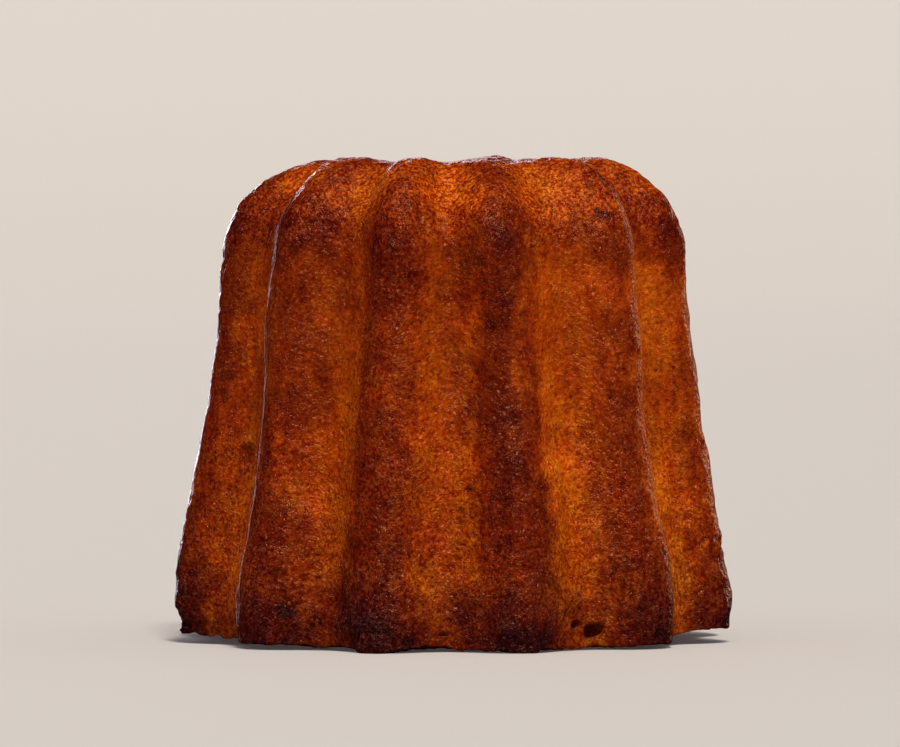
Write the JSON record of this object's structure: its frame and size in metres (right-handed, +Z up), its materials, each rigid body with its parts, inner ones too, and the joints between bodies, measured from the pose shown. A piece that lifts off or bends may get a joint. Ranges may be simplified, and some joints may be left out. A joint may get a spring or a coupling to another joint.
{
  "type": "canele",
  "caption": "Small fluted cake baked in a tall ribbed mould: dark caramelised crust, rounded shoulders, shallow dished top and flaring ribbed side.",
  "frame": {"origin": "centre of the cake's plan outline, at the level of the surface that it stands on", "axes": "+Z up through the dished top; -Y is the front; +X is to the right seen from the front"},
  "size_m": [0.0528, 0.0524, 0.0459],
  "materials": {
    "crust": "satin"
  },
  "bodies": {
    "root": {"cake": "crust"}
  },
  "joints": []
}
